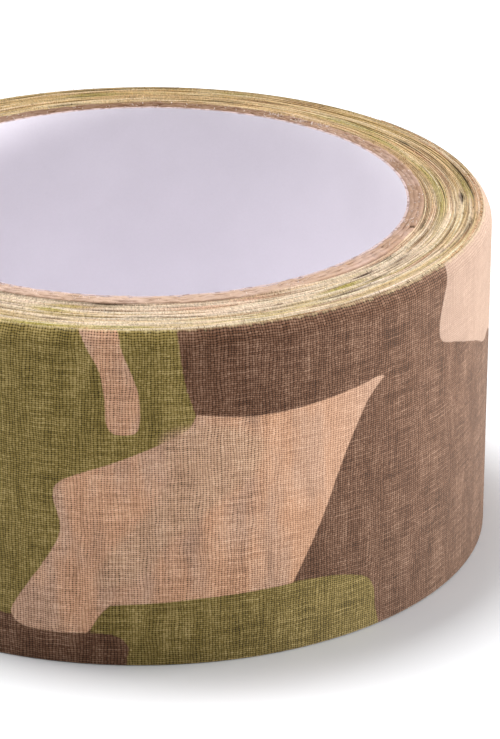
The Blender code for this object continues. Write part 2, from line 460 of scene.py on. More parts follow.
# Marks on the winding's top face: (angle, radius in mm, half length in degrees, half width in mm)
EDGE_MARKS = {
    # Dark marks, and painted shadow in the gaps where turns have parted and between the cloth and the core
    "edge_dark_and_gap_shadow": [
        (-105.5, 46.8, 2.5, 0.4), (-90.4, 45.1, 0.6, 0.4), (-97.0, 41.1, 3.5, 0.3), (-54.0, 46.1, 6.0, 0.3),
        (-45.0, 45.3, 3.0, 0.25), (-44.5, 43.1, 2.8, 0.3), (-35.2, 43.8, 3.2, 0.32), (-39.5, 42.0, 1.8, 0.3),
        (-35.5, 42.1, 1.9, 0.3), (-16.0, 41.8, 3.0, 0.3), (-0.5, 46.7, 2.4, 0.35), (30.0, 46.0, 1.6, 0.5),
        (71.0, 44.2, 1.6, 0.6), (75.0, 44.2, 1.0, 0.6), (107.0, 43.0, 4.0, 0.5), (-13.0, 48.4, 4.0, 0.22),
        (-2.0, 48.3, 8.0, 0.2),
    ],
    # Brown marks, and painted shade on the innermost turns at the back, next to the core
    "edge_brown_and_core_shade": [
        (-10.0, 48.3, 18.0, 0.3), (5.0, 41.7, 26.0, 0.35), (17.0, 46.3, 14.0, 0.3), (-30.0, 46.2, 14.0, 0.25),
        (8.0, 45.2, 14.0, 0.2), (24.0, 42.0, 17.0, 0.9), (66.0, 46.2, 5.0, 0.5), (84.0, 42.4, 14.0, 0.8),
        (52.0, 42.1, 16.0, 0.6), (-65.0, 42.0, 7.0, 0.5), (12.0, 42.7, 12.0, 0.2), (-24.0, 43.0, 8.0, 0.25),
        (-98.0, 45.9, 8.0, 0.2), (-59.0, 49.5, 23.0, 0.4), (-103.0, 42.2, 7.0, 0.6),
        (45.0, 41.4, 26.0, 0.45), (4.0, 48.7, 12.0, 0.3),
    ],
    "edge_green": [
        (0.0, 43.8, 16.0, 0.7), (12.0, 43.2, 14.0, 0.4), (6.0, 47.8, 8.0, 0.6), (-94.0, 48.5, 5.0, 0.4),
        (-104.0, 42.2, 4.0, 0.6), (-107.0, 44.0, 4.0, 0.8), (-106.0, 49.2, 8.0, 0.7), (-52.0, 44.4, 6.0, 0.5),
        (72.0, 48.0, 5.0, 0.8), (32.0, 43.4, 7.0, 0.6), (100.0, 46.5, 6.0, 1.0), (45.0, 45.0, 10.0, 1.0),
    ],
    "edge_rose": [
        (17.0, 45.5, 14.0, 0.6), (-4.0, 49.3, 22.0, 0.5), (-80.0, 42.8, 8.0, 1.0), (-70.0, 41.6, 5.0, 0.6),
        (-36.0, 41.6, 10.0, 0.7), (-12.0, 42.6, 8.0, 0.6), (25.0, 48.6, 8.0, 0.4),
    ],
}


def edge_attributes(piece, wraps):
    """How strongly, from 0 to 1, each kind of mark colours the cut edge at these wraps."""
    degrees = np.degrees(strip_angle(wraps))
    radius = strip_radius(wraps)
    radius = (radius - edge_lean(radius, TAPE_WIDTH)) / MM
    for name, marks in EDGE_MARKS.items():
        strength = np.zeros(len(wraps))
        for place, at_radius, half_length, half_width in marks:
            off = degrees_from(degrees, place)
            away = radius - at_radius
            bell = np.exp(-((off / half_length) ** 2) - (away / half_width) ** 2)
            # Even in the middle of the mark, and ending within its bell
            strength = np.maximum(strength, np.clip(1.6 * bell - 0.3, 0.0, 1.0))
        set_attribute(piece, name, strength)


def strip_piece(name, first_wrap, last_wrap, step, heights):
    """One closed stretch of the strip between two wraps, with its print."""
    wraps = np.linspace(first_wrap, last_wrap, max(2, round((last_wrap - first_wrap) / step)) + 1)
    printed, gummed = strip_points(wraps, heights)
    rows, columns = len(wraps), len(heights)
    size = rows * columns
    points = np.concatenate([printed.reshape(-1, 3), gummed.reshape(-1, 3)])
    quads = [grid_faces(rows, columns, 0, False), grid_faces(rows, columns, size, True)]
    run = np.arange(rows - 1) * columns
    rise = np.arange(columns - 1)
    for column, flip in ((0, True), (columns - 1, False)):
        a = run + column
        rim = np.stack([a, a + size, a + size + columns, a + columns], -1)
        quads.append(rim[:, ::-1] if flip else rim)
    for row, flip in ((0, False), (rows - 1, True)):
        a = row * columns + rise
        end = np.stack([a, a + size, a + size + 1, a + 1], -1)
        quads.append(end[:, ::-1] if flip else end)
    piece = new_mesh(name, points, np.concatenate(quads))
    wrap = np.tile(np.repeat(wraps, columns), 2)
    along = strip_length(FRONT_WRAP) - strip_length(wrap)
    height = np.tile(heights, 2 * rows)
    print_attributes(piece, along, height, np.repeat([0.0, 1.0], size), wrap / 360.0)
    edge_attributes(piece, wrap)
    return piece


# ---- materials

MATT_SPECULAR = 0.12
SHEEN_ROUGHNESS = 0.5
SHEEN_TINT = (1.0, 0.86, 0.72)

# In turns from the strip's free end: where the outer turn ends, and where the print's rim fades out
OUTER_TURN = (0.95, 1.1)
RIM_TURNS = (1.1, 3.0)

# How much darker the weave's gaps and holes are, and how much its uneven threads differ in lightness
GAP_ACROSS_DARK = 0.34
GAP_ALONG_DARK = 0.42
HOLE_DARK = 1.1
SLUB_LIGHT = 0.8
GRAIN_LIGHT = 0.7
MOTTLE_LIGHT = 0.75
CROSSING_LIGHT = 0.26
DARK_INK_CONTRAST = 1.65

# Half the width, in mm, over which one ink ends and the next begins
PRINT_BLUR = 0.12

# Along from the front: where the tan ink pales, and where its weave is worn smooth. Height: where the painted
# shade low on the cloth ends
PALE_STRETCH = (15 * MM, 50 * MM)
FIRST_WEAR = (14 * MM, 24 * MM)
MORE_WEAR = (35 * MM, 50 * MM)
SHADED_HEIGHT = 34 * MM


class Graph:
    """A material's node tree, with short calls for the nodes used here."""

    def __init__(self, name):
        self.material = bpy.data.materials.new(name)
        self.material.use_nodes = True
        self.tree = self.material.node_tree
        self.shader = self.tree.nodes["Principled BSDF"]

    def node(self, kind, **settings):
        made = self.tree.nodes.new(kind)
        for key, value in settings.items():
            setattr(made, key, value)
        return made

    def plug(self, value, socket):
        """Links a socket, or sets a plain value."""
        if isinstance(value, bpy.types.NodeSocket):
            self.tree.links.new(value, socket)
        elif isinstance(value, tuple):
            socket.default_value = (*value, 1.0) if len(socket.default_value) == 4 else value
        else:
            socket.default_value = value

    def plug_all(self, node, values):
        """Plugs values into a node's inputs by name or number."""
        for place, value in values.items():
            self.plug(value, node.inputs[place])

    def attribute(self, name):
        return self.node("ShaderNodeAttribute", attribute_name=name).outputs["Fac"]

    def position(self):
        return self.node("ShaderNodeTexCoord").outputs["Object"]

    def fed(self, kind, values, **settings):
        """The result of a node whose first inputs are these values."""
        made = self.node(kind, **settings)
        self.plug_all(made, dict(enumerate(values)))
        return made.outputs[0]

    def math(self, operation, first, second=0.0):
        return self.fed("ShaderNodeMath", (first, second), operation=operation)

    def plus(self, first, second):
        return self.math("ADD", first, second)

    def minus(self, first, second):
        return self.math("SUBTRACT", first, second)

    def times(self, first, second):
        return self.math("MULTIPLY", first, second)

    def vector(self, x, y, z):
        return self.fed("ShaderNodeCombineXYZ", (x, y, z))

    def grey(self, value):
        return self.vector(value, value, value)

    def parts(self, vector):
        """The x, y and z of a vector."""
        made = self.node("ShaderNodeSeparateXYZ")
        self.plug(vector, made.inputs[0])
        return tuple(made.outputs)

    def mix(self, factor, first, second, blend="MIX"):
        made = self.node("ShaderNodeMix", data_type="RGBA", blend_type=blend)
        self.plug_all(made, {0: factor, 6: first, 7: second})
        return made.outputs[2]

    def shaded(self, colour, shade):
        """A colour, lighter or darker by a number."""
        return self.mix(1.0, colour, self.grey(shade), "MULTIPLY")

    def noise(self, vector, scale, detail=2.0, roughness=0.5):
        made = self.node("ShaderNodeTexNoise")
        self.plug_all(made, {"Vector": vector, "Scale": scale, "Detail": detail, "Roughness": roughness})
        return made.outputs[0]

    def random(self, vector):
        """A random number of 0 to 1 for each different vector."""
        return self.fed("ShaderNodeTexWhiteNoise", (vector,))

    def ramp(self, value, low, high, to_low=0.0, to_high=1.0):
        """A smooth step from to_low to to_high, as the value goes from low to high."""
        values = (value, low, high, to_low, to_high)
        return self.fed("ShaderNodeMapRange", values, interpolation_type="SMOOTHSTEP")

    def bump(self, height, distance, strength):
        made = self.node("ShaderNodeBump")
        self.plug_all(made, {"Height": height, "Distance": distance, "Strength": strength})
        self.plug(made.outputs[0], self.shader.inputs["Normal"])

    def finish(self, colour, roughness, sheen=0.0):
        """The finished material: matt, with as much warm sheen as asked."""
        looks = {
            "Base Color": colour,
            "Roughness": roughness,
            "Specular IOR Level": MATT_SPECULAR,
            "Sheen Weight": sheen,
            "Sheen Roughness": SHEEN_ROUGHNESS,
            "Sheen Tint": SHEEN_TINT,
        }
        self.plug_all(self.shader, looks)
        return self.material


def edge_tone(g, turn):
    """The colour of the turns' cut edges: bands and lines along them, and streaks across them."""
    x, y = g.parts(g.position())[:2]
    # Noise that changes slowly along the turns, and quickly across them
    around_x = g.times(x, 50.0)
    around_y = g.times(y, 50.0)
    bands = g.noise(g.vector(around_x, around_y, g.times(turn, 0.45)), 1.0)
    bands = g.plus(bands, g.ramp(turn, 3.0, 34.0, -0.1, 0.16))
    lines = g.noise(g.vector(around_x, around_y, g.times(turn, 2.7)), 1.0, 1.0)
    tone = g.mix(g.ramp(bands, 0.36, 0.6), EDGE_CREAM, EDGE_PALE_ROSE)

    # Yellower towards the back, and away from the rim
    ochre_share = g.times(g.ramp(y, -0.035, 0.02, 0.0, 0.8), g.ramp(turn, 1.0, 9.0, 0.4, 1.0))
    tone = g.mix(ochre_share, tone, EDGE_OCHRE)
    # Brown marks, partly painted shade by the core at the back
    browned_and_shaded = g.attribute("edge_brown_and_core_shade")
    tone = g.mix(g.times(browned_and_shaded, 0.85), tone, EDGE_BROWN_AND_SHADE)
    tone = g.mix(g.times(g.attribute("edge_green"), 0.92), tone, EDGE_GREEN)
    tone = g.mix(g.times(g.attribute("edge_rose"), 0.6), tone, EDGE_ROSE)
    tone = g.mix(g.ramp(lines, 0.3, 0.44, 0.6, 0.0), tone, EDGE_DARK)
    brighter = g.times(g.ramp(lines, 0.52, 0.66, 0.0, 0.6), g.minus(1.0, browned_and_shaded))
    tone = g.mix(brighter, tone, EDGE_LIGHT)
    # Painted shade: the innermost turns browner at the back, next to the core
    by_the_core = g.ramp(turn, TURNS - 5.0, TURNS - 1.5)
    tone = g.mix(g.times(by_the_core, g.ramp(y, -0.005, 0.015, 0.0, 0.6)), tone, EDGE_BROWN_AND_SHADE)

    nicks = g.noise(g.vector(g.times(around_x, 6.0), g.times(around_y, 6.0), turn), 1.0)
    nicks = g.times(g.ramp(nicks, 0.26, 0.34, 1.0, 0.0), g.ramp(lines, 0.35, 0.6, 0.8, 0.1))
    tone = g.mix(nicks, tone, EDGE_NICK_AND_SHADOW)
    # Dark marks, partly painted shadow in the gaps between turns and by the core
    tone = g.mix(g.times(g.attribute("edge_dark_and_gap_shadow"), 0.95), tone, EDGE_NICK_AND_SHADOW)

    threads = g.times(g.math("ARCTAN2", y, x), ROLL_RADIUS / ACROSS_PITCH)
    streaks = g.noise(g.vector(threads, g.times(turn, 0.3), 0.0), 1.0, 1.0)
    return g.shaded(tone, g.ramp(streaks, 0.25, 0.75, 0.78, 1.26))


def printed_colour(g, ragged, pale):
    """The camouflage's colour, with ragged edges, and how much of it is the tan ink."""
    green = g.ramp(g.plus(g.attribute("print_green"), ragged), -PRINT_BLUR, PRINT_BLUR, 1.0, 0.0)
    tan = g.ramp(g.plus(g.attribute("print_tan"), ragged), -PRINT_BLUR, PRINT_BLUR, 1.0, 0.0)
    colour = g.mix(green, PRINT_BROWN, PRINT_GREEN)
    return g.mix(tan, colour, g.mix(pale, PRINT_TAN, PRINT_PALE_TAN)), tan


def weave_pattern(g, along, height, place):
    """A plain weave's threads, gaps and holes, and what is uneven in it."""
    drift = g.minus(g.noise(place, 160.0), 0.5)
    column = g.plus(g.math("DIVIDE", along, ACROSS_PITCH), g.times(drift, 2.2))
    row = g.plus(g.math("DIVIDE", height, ALONG_PITCH), g.times(drift, 1.6))
    wave_across = g.math("SINE", g.times(column, math.pi))
    wave_along = g.math("SINE", g.times(row, math.pi))
    over = g.plus(g.times(g.times(wave_across, wave_along), 0.9), 0.5)
    over = g.math("MINIMUM", g.math("MAXIMUM", over, 0.0), 1.0)
    thread_across = g.math("ABSOLUTE", wave_across)
    thread_along = g.math("ABSOLUTE", wave_along)
    gap_across = g.ramp(thread_across, 0.1, 0.8, 1.0, 0.0)
    gap_along = g.ramp(thread_along, 0.1, 0.8, 1.0, 0.0)
    openness = g.random(g.vector(g.math("ROUND", column), g.math("ROUND", row), 5.0))
    hole = g.times(g.times(gap_across, gap_along), g.plus(openness, 0.35))

    # Each thread is thicker in places, and each crossing differs a little
    column = g.math("FLOOR", column)
    row = g.math("FLOOR", row)
    slub_along = g.noise(g.vector(g.times(along, 115.0), row, 0.0), 1.0, 1.0)
    slub_across = g.noise(g.vector(column, g.times(height, 100.0), 7.0), 1.0, 1.0)
    slub = g.plus(g.times(slub_along, 1.3), g.times(slub_across, 0.8))
    return SimpleNamespace(
        column=column,
        gap_across=gap_across,
        gap_along=gap_along,
        hole=hole,
        relief=g.plus(g.times(thread_along, over), g.times(thread_across, g.minus(1.0, over))),
        slub=g.minus(slub, 1.05),
        grain=g.minus(g.noise(place, 2600.0, 1.0), 0.5),
        mottle=g.minus(g.noise(place, 120.0, 3.0), 0.5),
        crossing=g.minus(g.random(g.vector(column, row, 3.0)), 0.5),
    )


def print_on_cloth(g, along, height, place, weave, through):
    """The print as it shows on the cloth, and how much of it is the tan ink."""
    ragged = g.plus(g.times(weave.grain, 0.35), g.times(weave.slub, 0.25))
    blotch = g.ramp(g.noise(place, 70.0, 2.0), 0.35, 0.65)
    pale = g.math("MAXIMUM", g.ramp(along, *PALE_STRETCH), g.times(blotch, 0.5))
    colour, tan = printed_colour(g, ragged, pale)
    colour = g.mix(g.times(through, 0.8), colour, PRINT_GREYED_TAN)
    # Painted shade: the cloth darker towards the bottom of the roll
    shaded_low = g.ramp(height, 0.0, SHADED_HEIGHT, 0.88, 1.0)
    return g.shaded(colour, shaded_low), tan


def bare_edges(g, colour, height, gummed, turn, weave):
    """The colour with bare cut edges and a gummed side, and how far the turns inside lose their weave."""
    cut = g.minus(g.random(g.vector(weave.column, 0.0, 11.0)), 0.5)
    below_edge = g.plus(g.minus(TAPE_WIDTH, height), g.times(cut, 0.3 * MM))
    below_edge = g.plus(below_edge, g.times(g.plus(weave.grain, weave.mottle), 0.3 * MM))
    inner_turn = g.ramp(turn, *OUTER_TURN)
    bare_outer = g.ramp(below_edge, -0.05 * MM, 0.3 * MM, 0.3, 0.0)
    bare_inner = g.ramp(below_edge, 1.0 * MM, 3.0 * MM, 0.75, 0.0)
    bare_inner = g.times(bare_inner, g.ramp(turn, *RIM_TURNS, 0.8, 1.0))
    bare = g.mix(inner_turn, g.grey(bare_outer), g.grey(bare_inner))
    colour = g.mix(bare, colour, g.mix(inner_turn, BARE_CLOTH, edge_tone(g, turn)))
    colour = g.mix(g.times(gummed, g.minus(1.0, bare_inner)), colour, GUM)
    return colour, g.times(inner_turn, bare_inner)


def evened(g, light, share):
    """A lightness, brought towards 1 by a share."""
    return g.plus(g.times(light, g.minus(1.0, share)), share)


def cloth_light(g, along, weave, through, tan, plain):
    """How light each place of the weave is: the gaps and holes are dark, and more so in the dark inks."""
    light = g.minus(1.28, g.times(weave.gap_across, GAP_ACROSS_DARK))
    light = g.minus(light, g.times(weave.gap_along, GAP_ALONG_DARK))
    light = g.minus(light, g.times(weave.hole, g.plus(HOLE_DARK, g.times(through, 0.6))))
    light = g.plus(light, g.times(weave.slub, SLUB_LIGHT))
    light = g.plus(light, g.times(weave.grain, GRAIN_LIGHT))
    light = g.plus(light, g.times(weave.mottle, MOTTLE_LIGHT))
    light = g.times(light, g.plus(1.0, g.times(weave.crossing, CROSSING_LIGHT)))
    light = g.math("POWER", g.math("MAXIMUM", light, 0.05), g.ramp(tan, 0.0, 1.0, DARK_INK_CONTRAST, 1.0))
    worn = g.plus(g.ramp(along, *FIRST_WEAR, 0.0, 0.35), g.ramp(along, *MORE_WEAR, 0.0, 0.3))
    light = evened(g, light, g.times(tan, worn))
    return evened(g, light, g.times(plain, 0.85))


def cloth_material():
    """Plain-woven cotton, printed on one face and gummed on the other, bare and pale at its cut edges."""
    g = Graph("printed_cloth")
    along, height, gummed, turn = map(g.attribute, CLOTH_ATTRIBUTES)
    place = g.vector(along, height, turn)
    weave = weave_pattern(g, along, height, place)
    through = g.ramp(g.attribute("print_through"), -1.4, 0.6, 1.0, 0.0)
    colour, tan = print_on_cloth(g, along, height, place, weave, through)
    colour, plain = bare_edges(g, colour, height, gummed, turn, weave)

    light = cloth_light(g, along, weave, through, tan, plain)
    raised = g.math("MAXIMUM", g.minus(light, 1.0), 0.0)
    light = g.plus(g.math("MINIMUM", light, 1.0), g.times(raised, 0.6))
    colour = g.shaded(colour, light)
    colour = g.mix(g.times(raised, g.ramp(tan, 0.0, 1.0, 0.1, 0.35)), colour, WORN_THREAD)

    relief = g.plus(weave.relief, g.times(g.plus(weave.slub, weave.grain), 0.5))
    g.bump(relief, 0.07 * MM, 0.7)
    return g.finish(colour, g.ramp(gummed, 0.0, 1.0, 0.92, 0.5), sheen=0.28)


def liner_material():
    """Smooth white paper with a faint lilac cast, and painted shade low down in the bore."""
    g = Graph("white_liner_paper")
    place = g.position()
    cloudy = g.noise(place, 60.0, 4.0)
    fibres = g.noise(place, 2500.0, 3.0, 0.6)
    colour = g.mix(g.ramp(cloudy, 0.3, 0.7), LINER_WHITE, tuple(c * 0.95 for c in LINER_WHITE))
    # Painted shade: the liner darker low down in the bore
    shaded_low = g.ramp(g.parts(place)[2], 0.0, 0.024, 0.9, 1.0)
    colour = g.shaded(colour, g.times(shaded_low, g.plus(0.97, g.times(fibres, 0.05))))
    specks = g.ramp(g.noise(place, 1100.0, 2.0), 0.48, 0.62, 0.0, 0.55)
    colour = g.mix(g.attribute("board_side"), g.mix(specks, LINER_RIM, BOARD_DARK), colour)
    g.bump(fibres, 0.03 * MM, 0.25)
    return g.finish(colour, g.ramp(fibres, 0.2, 0.8, 0.55, 0.7))


def board_material():
    """Raw core board: pressed brown fibres, with painted light on the front, and painted shade at the back
    and on the sides.
    """
    g = Graph("core_board")
    place = g.position()
    y = g.parts(place)[1]
    cloudy = g.noise(place, 150.0, 3.0, 0.6)
    clumps = g.noise(place, 620.0, 4.0, 0.6)
    fibres = g.noise(place, 3200.0, 3.0, 0.7)
    colour = g.mix(g.ramp(cloudy, 0.38, 0.62, 0.0, 0.7), BOARD_BROWN, BOARD_LILAC)
    # Painted light: the board paler at the front of the ring
    colour = g.mix(g.ramp(y, -0.042, -0.02, 0.5, 0.0), colour, BOARD_LIT_FRONT)
    marked = g.times(g.ramp(clumps, 0.42, 0.66, 0.0, 0.32), g.ramp(y, -0.04, -0.01, 0.5, 1.0))
    colour = g.mix(marked, colour, BOARD_DARK)
    colour = g.mix(g.ramp(fibres, 0.55, 0.8, 0.0, 0.26), colour, BOARD_DARK)
    # Painted shade: the board darker towards the back of the ring
    darker = g.plus(g.ramp(y, -0.03, 0.0, 0.0, 0.4), g.ramp(y, 0.025, 0.042, 0.0, 0.5))
    colour = g.mix(darker, colour, BOARD_SHADED_BACK)
    # Painted shade: the plies' sides darker, in the narrow gaps between them
    colour = g.mix(g.ramp(g.attribute("board_side"), 0.3, 1.0, 0.0, 0.2), colour, BOARD_DARK)
    g.bump(g.plus(clumps, fibres), 0.12 * MM, 0.8)
    return g.finish(colour, 0.92, sheen=0.15)


def shred_material():
    """Torn scraps of the liner's paper."""
    g = Graph("torn_paper")
    fibres = g.noise(g.position(), 3000.0, 3.0, 0.6)
    g.bump(fibres, 0.08 * MM, 0.6)
    return g.finish(g.mix(g.ramp(fibres, 0.3, 0.8), SHRED_WHITE, SHRED_BROWN), 0.85)


def cotton_material():
    """Cut thread ends, in the tone of the edge they stand on, and inked on the outermost turns."""
    g = Graph("cut_cotton")
    turn = g.attribute("cloth_turn")
    inked, _ = printed_colour(g, 0.0, 0.0)
    tone = g.mix(g.ramp(turn, 1.0, 2.2, 0.88, 0.1), edge_tone(g, turn), inked)
    g.bump(g.noise(g.position(), 9000.0), 0.02 * MM, 0.5)
    return g.finish(g.shaded(tone, g.ramp(g.attribute("strand_shade"), 0.0, 1.0, 0.86, 1.16)), 0.9)


def floor_material():
    """A plain white studio floor."""
    g = Graph("studio_floor")
    grain = g.noise(g.position(), 30.0)
    return g.finish(g.mix(g.ramp(grain, 0.3, 0.7), FLOOR_WHITE, FLOOR_WHITER), 0.8)


# ---- the core

RING_STEP = 1.0
TUBE_LEVELS = 13
RIM_DEPTH = 0.15 * MM

# Where each ply's seam is at the top, and how far it turns on its way down, in degrees
SEAMS = {
    "core_ply_inner": (150.0, -95.0),
    "core_ply_middle": (55.0, 95.0),
    "core_ply_outer": (-19.0, -95.0),
}
SEAM_WIDTH = 0.4 * MM
PLY_SWELL = 0.09 * MM
RIM_ROUNDING = 0.08
LINER_TEAR = 0.025 * MM
BOARD_TEAR = 0.08 * MM


def node_radii(node):
    """Inner and outer radius of a round CAD node."""
    distances = [vertex.co.xy.length for vertex in frame["nodes"][node].data.vertices]
    return min(distances), max(distances)


def tube_piece(name, node, seam, tear):
    """A paper tube with a torn-looking top edge, open along one helical seam if it has one."""
    inner, outer = node_radii(node)
    outer += PLY_SWELL
    low, high = (corner.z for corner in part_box(node))
    first_angle, turn = seam or (0.0, 0.0)
    sweep = 360.0 - math.degrees(SEAM_WIDTH / outer) if seam else 360.0
    steps = round(sweep / RING_STEP)
    rows = steps + 1 if seam else steps
    angles = np.radians(sweep * np.arange(rows) / steps)
    levels = np.concatenate([np.linspace(low, high - RIM_DEPTH, TUBE_LEVELS), [high]])
    count = 2 * len(levels)
    radius = np.repeat([outer, inner], len(levels))
    radius[len(levels) - 1] -= RIM_ROUNDING * (outer - inner)
    radius[len(levels)] += RIM_ROUNDING * (outer - inner)
    level = np.concatenate([levels, levels[::-1]])
    torn = np.random.default_rng(SEED).normal(0.0, tear, (rows, count))
    height = level[None, :] + np.where(level == high, torn, 0.0)
    twist = math.radians(first_angle) + math.radians(turn) * (level - high) / (high - low)
    angle = angles[:, None] + twist[None, :]
    points = np.stack([radius * np.cos(angle), radius * np.sin(angle), height], -1)
    row, column = np.meshgrid(np.arange(steps), np.arange(count), indexing="ij")
    near = row * count
    far = (row + 1) % rows * count
    onward = (column + 1) % count
    quads = [np.stack([near + column, far + column, far + onward, near + onward], -1).reshape(-1, 4)]
    if seam:
        rung = np.arange(len(levels) - 1)
        for first in (0, (rows - 1) * count):
            end = first + np.stack([rung, rung + 1, count - 2 - rung, count - 1 - rung], -1)
            quads.append(end if first == 0 else end[:, ::-1])
    piece = new_mesh(name, points.reshape(-1, 3), np.concatenate(quads))
    set_attribute(piece, "board_side", np.tile(np.where(level == high, 0.0, 1.0), rows))
    return piece


def build_core(board, paper):
    """The liner and the plies, each in place of its CAD tube."""
    layers = [("liner_tube", "core_liner", LINER_TEAR, paper, "liner_paper")]
    for ply in ("inner", "middle", "outer"):
        layers.append((f"board_ply_{ply}", f"core_ply_{ply}", BOARD_TEAR, board, "core_board"))
    for name, node, tear, material, slot in layers:
        tube = tube_piece(name, node, SEAMS.get(node), tear)
        tube.data.materials.append(material)
        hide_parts(node)
        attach(tube, "roll")


# ---- the strip's pieces

# Degrees of wrap between two rows of points
OUTER_STEP = 0.8
INNER_STEP = 2.2
FREE_END_STEP = 0.5

# How far past the peel line the outer turn's own piece starts, where the free end's first piece ends
JOIN_WRAP = 1.5


def build_free_end(cloth):
    """The free end: pieces that each span one hinge, and one that rides on the last body."""
    bodies = ["roll"] + [joint["child"] for joint in PEEL_HINGES]
    tabs = []
    for number in range(len(bodies)):
        hinge_wrap = PEEL_WRAP - SEGMENT_WRAP * number
        first = max(0.0, hinge_wrap - 0.5 * SEGMENT_WRAP)
        last = PEEL_WRAP + JOIN_WRAP if number == 0 else hinge_wrap + 0.5 * SEGMENT_WRAP
        tab = strip_piece(f"free_end_cloth_{number}", first, last, FREE_END_STEP, OUTER_HEIGHTS)
        tab.data.materials.append(cloth)
        if number < len(PEEL_HINGES):
            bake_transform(tab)
        else:
            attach(tab, bodies[number])
        if number > 0:
            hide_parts(f"free_end_{number}")
        tabs.append(tab)
    return tabs


def build_strip(cloth):
    """The outer turn, the turns inside it, and the free end's pieces, all of the printed cloth."""
    outer = strip_piece("outer_wrap", PEEL_WRAP + JOIN_WRAP, OUTER_WRAP_END, OUTER_STEP, OUTER_HEIGHTS)
    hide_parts("outer_turn")
    inner = strip_piece("inner_wraps", OUTER_WRAP_END, LAST_WRAP, INNER_STEP, INNER_HEIGHTS)
    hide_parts("wound_turns")
    for piece in (outer, inner):
        piece.data.materials.append(cloth)
        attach(piece, "roll")

    tabs = build_free_end(cloth)


# ---- loose threads and fibres

STRAND_SIDES = 4

# A strand's rings, from its root to its tip: (share of its length, share of its width)
STRAND_RINGS = ((0.0, 1.0), (0.5, 0.85), (1.0, 0.3))
STRAND_POINTS = len(STRAND_RINGS) * STRAND_SIDES
STRAND_STRAY = 0.3
STRAND_SAG = 0.12


def strands(name, angles, radii, heights, leans, rise, lengths, widths, rng):
    """Short tapered threads on the roll's face. A lean above 0 is outwards, and rise is their upward part."""
    count = len(angles)
    outward = np.stack([np.cos(angles), np.sin(angles), np.zeros(count)], -1)
    sideways = np.stack([-np.sin(angles), np.cos(angles), np.zeros(count)], -1)
    up = np.array([0.0, 0.0, 1.0])
    root = outward * radii[:, None] + up * heights[:, None]
    course = outward * leans[:, None] + sideways * rng.normal(0.0, STRAND_STRAY, (count, 1)) + up * rise
    course /= np.linalg.norm(course, axis=1)[:, None]
    side = np.cross(course, outward)
    side /= np.linalg.norm(side, axis=1)[:, None]
    lift = np.cross(side, course)
    sag = side * rng.normal(0.0, STRAND_SAG, (count, 1)) - up * STRAND_SAG
    points = []
    for part, thickness in STRAND_RINGS:
        centre = root + course * (lengths[:, None] * part) + sag * lengths[:, None] * part**2
        for corner in range(STRAND_SIDES):
            turn = 2.0 * math.pi * corner / STRAND_SIDES
            reach = (side * math.cos(turn) + lift * math.sin(turn)) * (widths * thickness)[:, None]
            points.append(centre + reach)
    points = np.stack(points, 1).reshape(-1, 3)
    corner = np.arange(STRAND_SIDES)
    onward = (corner + 1) % STRAND_SIDES
    quads = []
    for ring in range(len(STRAND_RINGS) - 1):
        low = ring * STRAND_SIDES
        high = low + STRAND_SIDES
        quads.append(np.stack([low + corner, low + onward, high + onward, high + corner], -1))
    quads.append(corner[None, ::-1])
    quads.append(STRAND_POINTS - STRAND_SIDES + corner[None, :])
    one = np.concatenate(quads)
    every = (np.arange(count) * STRAND_POINTS)[:, None, None] + one[None]
    return new_mesh(name, points, every.reshape(-1, 4))


# The share of the crossing threads whose ends stand up, on the rim and on the turns inside it
RIM_FRINGE_SHARE = 0.6
FRINGE_SHARE = 0.16

# Sizes of the thread ends and of the fibres, in mm
RIM_THREAD_LENGTHS = (0.3, 0.8)
THREAD_LENGTHS = (0.2, 0.55)
THREAD_WIDTHS = (0.035, 0.065)
FIBRE_LENGTHS = (0.2, 0.6)
FIBRE_WIDTHS = (0.02, 0.045)

# Leans and rises, as parts of the threads' and fibres' direction
RIM_THREAD_LEANS = (-3.0, -0.8)
THREAD_LEANS = (-0.5, 0.4)
THREAD_RISE = 1.0
FIBRE_LEANS = (-0.8, 0.8)
FIBRE_RISE = 0.28

# Fibres all round the core, and clusters of them at: (angle, spread in degrees)
FIBRES = 420
CLUSTER_FIBRES = 45
FIBRE_CLUSTERS = ((-15.5, 3.0), (46.5, 1.2), (52.5, 1.5), (59.0, 1.0), (148.0, 5.0), (231.0, 3.0))

# How deep the roots are, and where in the cloth's thickness
THREAD_ROOT = 0.1 * MM
FIBRE_ROOT = 0.08 * MM
ROOT_SHARES = (0.3, 0.8)
FRINGE_MARGIN = 4.0


def build_cut_threads(cotton):
    """Cut thread ends along every turn's top edge."""
    rng = np.random.default_rng(SEED + 1)
    spacing = math.degrees(ACROSS_PITCH / ROLL_RADIUS)
    wraps = np.arange(PEEL_WRAP + FRINGE_MARGIN, LAST_WRAP - FRINGE_MARGIN, spacing)
    on_rim = wraps < PEEL_WRAP + 360.0
    standing = rng.random(len(wraps)) < np.where(on_rim, RIM_FRINGE_SHARE, FRINGE_SHARE)
    wraps = wraps[standing]
    on_rim = on_rim[standing]
    count = len(wraps)
    radii = strip_radius(wraps)
    radii = radii - edge_lean(radii, TAPE_WIDTH) - rng.uniform(*ROOT_SHARES, count) * CLOTH_THICKNESS
    heights = TAPE_WIDTH + top_rise(wraps) - THREAD_ROOT
    lengths = np.where(on_rim, rng.uniform(*RIM_THREAD_LENGTHS, count), rng.uniform(*THREAD_LENGTHS, count))
    widths = rng.uniform(*THREAD_WIDTHS, count) * MM
    leans = np.where(on_rim, rng.uniform(*RIM_THREAD_LEANS, count), rng.uniform(*THREAD_LEANS, count))
    angles = strip_angle(wraps)
    cut = strands("cut_threads", angles, radii, heights, leans, THREAD_RISE, lengths * MM, widths, rng)
    every = np.repeat(wraps, STRAND_POINTS)
    along = strip_length(FRONT_WRAP) - strip_length(every)
    print_attributes(cut, along, np.full(len(every), TAPE_WIDTH), np.zeros(len(every)), every / 360.0)
    edge_attributes(cut, every)
    set_attribute(cut, "strand_shade", np.repeat(rng.random(count), STRAND_POINTS))
    cut.data.materials.append(cotton)
    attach(cut, "roll")
    return cut


